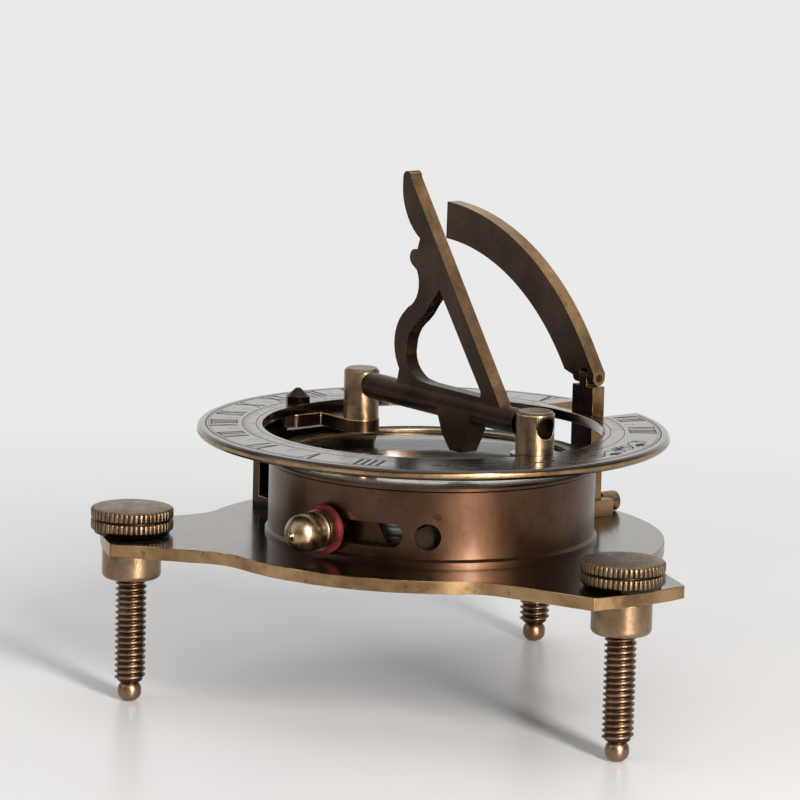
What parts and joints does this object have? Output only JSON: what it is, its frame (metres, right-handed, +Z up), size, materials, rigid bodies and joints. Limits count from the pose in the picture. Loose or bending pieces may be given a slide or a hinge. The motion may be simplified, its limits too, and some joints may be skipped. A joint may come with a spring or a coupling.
{
  "type": "sundial compass",
  "caption": "Folding horizontal sundial with a latitude arc over a glazed compass, on a trefoil plate with levelling screws.",
  "frame": {"origin": "on the compass drum's axis, in the plane of the three ball feet", "axes": "+Z up along the drum's axis, +Y towards the XII side and the ring's hinge, +X towards the latitude arc"},
  "size_m": [0.1314, 0.1222, 0.1124],
  "materials": {
    "dark_bronze": "antiqued brown, rubbed lighter on its edges",
    "polished_bronze": "antiqued brown, polished, with engraved lines filled black",
    "worn_brass": "antiqued brass, rubbed golden",
    "thread_bronze": "dark threaded rod with bright crests",
    "bright_steel": "plain polished",
    "card": "silvered card with an engraved star",
    "red_fibre": "red fibre",
    "glass": "clear"
  },
  "bodies": {
    "stand": {"base_plate": "polished_bronze", "leg_bushes": "worn_brass", "drum_shell": "dark_bronze", "drum_screws": "worn_brass", "dial_plate": "dark_bronze", "dial_screws": "dark_bronze", "compass_card": "card", "pivot_post": "bright_steel", "glass": "glass", "glass_ring": "worn_brass", "lever_bracket": "worn_brass", "lever_pin": "bright_steel", "hinge_bracket": "dark_bronze", "bracket_screws": "worn_brass", "hinge_pin": "worn_brass", "arc_post": "dark_bronze", "arc_clamp_screw": "worn_brass", "arc_pin": "worn_brass"},
    "screw_south": {"levelling_rod_south": "thread_bronze", "levelling_knob_south": "worn_brass"},
    "screw_east": {"levelling_rod_east": "thread_bronze", "levelling_knob_east": "worn_brass"},
    "screw_west": {"levelling_rod_west": "thread_bronze", "levelling_knob_west": "worn_brass"},
    "ring": {"hour_ring": "polished_bronze", "hinge_leaf": "dark_bronze", "leaf_screws": "dark_bronze", "post_south": "worn_brass", "post_north": "worn_brass"},
    "gnomon_leaf": {"gnomon": "dark_bronze"},
    "arc": {"latitude_arc": "dark_bronze"},
    "needle_lock": {"lock_strip": "dark_bronze", "lock_stud": "worn_brass", "lock_washer": "red_fibre", "lock_collar": "worn_brass", "lock_acorn": "worn_brass"},
    "lever": {"lift_lever": "bright_steel"},
    "sleeve": {"lift_sleeve": "worn_brass"},
    "compass_needle": {"needle": "bright_steel", "needle_cap": "worn_brass"}
  },
  "joints": [
    {"name": "ring_tilt", "type": "hinge", "parent": "stand", "child": "ring", "pos_m": [0, 0.042, 0.0546], "axis": [-1, 0, 0], "range_deg": [0, 80]},
    {"name": "gnomon_fold", "type": "hinge", "parent": "ring", "child": "gnomon_leaf", "pos_m": [0, 0, 0.0645], "axis": [0, -1, 0], "range_deg": [0, 90]},
    {"name": "arc_fold", "type": "hinge", "parent": "stand", "child": "arc", "pos_m": [0.041, 0, 0.0665], "axis": [0, 1, 0], "range_deg": [-90, 0]},
    {"name": "needle_lock_slide", "type": "hinge", "parent": "stand", "child": "needle_lock", "pos_m": [0, 0, 0.0421], "axis": [0, 0, 1], "range_deg": [0, 24]},
    {"name": "lever_tilt", "type": "hinge", "parent": "stand", "child": "lever", "pos_m": [0.01259, 0.01554, 0.04305], "axis": [-0.7771, 0.6293, 0], "range_deg": [0, 1.75]},
    {"name": "sleeve_lift", "type": "slide", "parent": "stand", "child": "sleeve", "axis": [0, 0, 1], "range_m": [0, 0.00061]},
    {"name": "needle_turn", "type": "hinge", "parent": "sleeve", "child": "compass_needle", "pos_m": [0, 0, 0.0487], "axis": [0, 0, 1], "continuous": true},
    {"name": "screw_travel_south", "type": "slide", "parent": "stand", "child": "screw_south", "axis": [0, 0, 1], "range_m": [0, 0.022]},
    {"name": "screw_travel_east", "type": "slide", "parent": "stand", "child": "screw_east", "axis": [0, 0, 1], "range_m": [0, 0.022]},
    {"name": "screw_travel_west", "type": "slide", "parent": "stand", "child": "screw_west", "axis": [0, 0, 1], "range_m": [0, 0.022]}
  ],
  "couplings": [
    {"joint": "lever_tilt", "follows": "needle_lock_slide", "ratio": 0.0722},
    {"joint": "sleeve_lift", "follows": "needle_lock_slide", "m_per_rad": 0.0014443}
  ]
}
